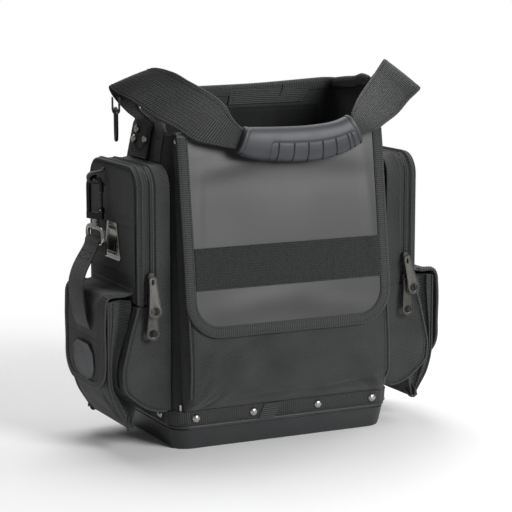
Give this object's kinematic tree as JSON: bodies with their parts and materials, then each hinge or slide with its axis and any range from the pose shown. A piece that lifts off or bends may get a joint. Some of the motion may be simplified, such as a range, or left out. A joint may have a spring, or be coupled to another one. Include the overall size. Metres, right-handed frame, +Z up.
{
  "type": "open top tool tote",
  "caption": "Open-topped rectangular fabric tool tote on a moulded base, with a covered front pocket, zipped and flapped side pockets, and a webbing handle with a moulded grip.",
  "frame": {"origin": "middle of the base's flat underside", "axes": "+Z up, -Y towards the front pocket, +X to the right seen from the front"},
  "size_m": [0.4775, 0.1982, 0.4664],
  "materials": {
    "nylon": "plain woven nylon, matt",
    "webbing": "ribbed webbing",
    "coated": "smooth coated cloth",
    "polymer": "fine moulded texture",
    "rubber": "smooth soft moulding",
    "badge": "smooth moulding",
    "nickel": "bright nickel plate",
    "steel": "bright spring steel",
    "black_metal": "glossy black coating"
  },
  "bodies": {
    "tote": {"tote_shell": "nylon", "front_pocket": "nylon", "side_pocket_left": "nylon", "side_zipper_left": "nylon", "side_lid_left": "nylon", "outer_pocket_left": "nylon", "outer_flap_left": "nylon", "side_pocket_right": "nylon", "side_zipper_right": "nylon", "side_lid_right": "nylon", "outer_pocket_right": "nylon", "outer_flap_right": "nylon", "base_band": "webbing", "rim_binding": "webbing", "inner_hanger": "webbing", "flap_binding": "webbing", "flap_loop_strip": "webbing", "ring_tab_left": "webbing", "ring_tab_right": "webbing", "snap_keeper": "webbing", "hang_strap": "webbing", "handle_strap": "webbing", "front_flap": "coated", "base_tray": "polymer", "handle_grip": "rubber", "flap_badge": "badge", "zipper_slider_left_upper": "nickel", "pull_tab_left_upper": "nickel", "zipper_slider_left_lower": "nickel", "pull_tab_left_lower": "nickel", "zipper_slider_right_upper": "nickel", "pull_tab_right_upper": "nickel", "zipper_slider_right_lower": "nickel", "pull_tab_right_lower": "nickel", "band_rivet_front_1": "nickel", "band_rivet_front_2": "nickel", "band_rivet_front_3": "nickel", "band_rivet_front_4": "nickel", "band_rivet_back_1": "nickel", "band_rivet_back_2": "nickel", "band_rivet_back_3": "nickel", "band_rivet_back_4": "nickel", "band_rivet_left_1": "nickel", "band_rivet_left_2": "nickel", "band_rivet_right_1": "nickel", "band_rivet_right_2": "nickel", "handle_rivet_left_1": "nickel", "handle_rivet_left_2": "nickel", "handle_rivet_left_3": "nickel", "handle_rivet_right_1": "nickel", "handle_rivet_right_2": "nickel", "handle_rivet_right_3": "nickel", "tape_clip": "steel", "snap_body": "black_metal"},
    "ring_left": {"d_ring_left": "black_metal"},
    "ring_right": {"d_ring_right": "black_metal"},
    "gate": {"snap_gate": "black_metal"}
  },
  "joints": [
    {"name": "ring_left_swing", "type": "hinge", "parent": "tote", "child": "ring_left", "pos_m": [-0.18, 0.0204, 0.41126], "axis": [0.3489, 0.9371, 0], "range_deg": [-25, 60]},
    {"name": "ring_right_swing", "type": "hinge", "parent": "tote", "child": "ring_right", "pos_m": [0.1725, 0.0204, 0.40824], "axis": [-0.3489, 0.9371, 0], "range_deg": [-60, 15]},
    {"name": "snap_gate_hinge", "type": "hinge", "parent": "tote", "child": "gate", "pos_m": [-0.20226, 0.01613, 0.28912], "axis": [-0.8924, -0.4512, 0], "range_deg": [0, 25], "stiffness_Nm_per_rad": 0.02, "springref_deg": -8.59}
  ]
}
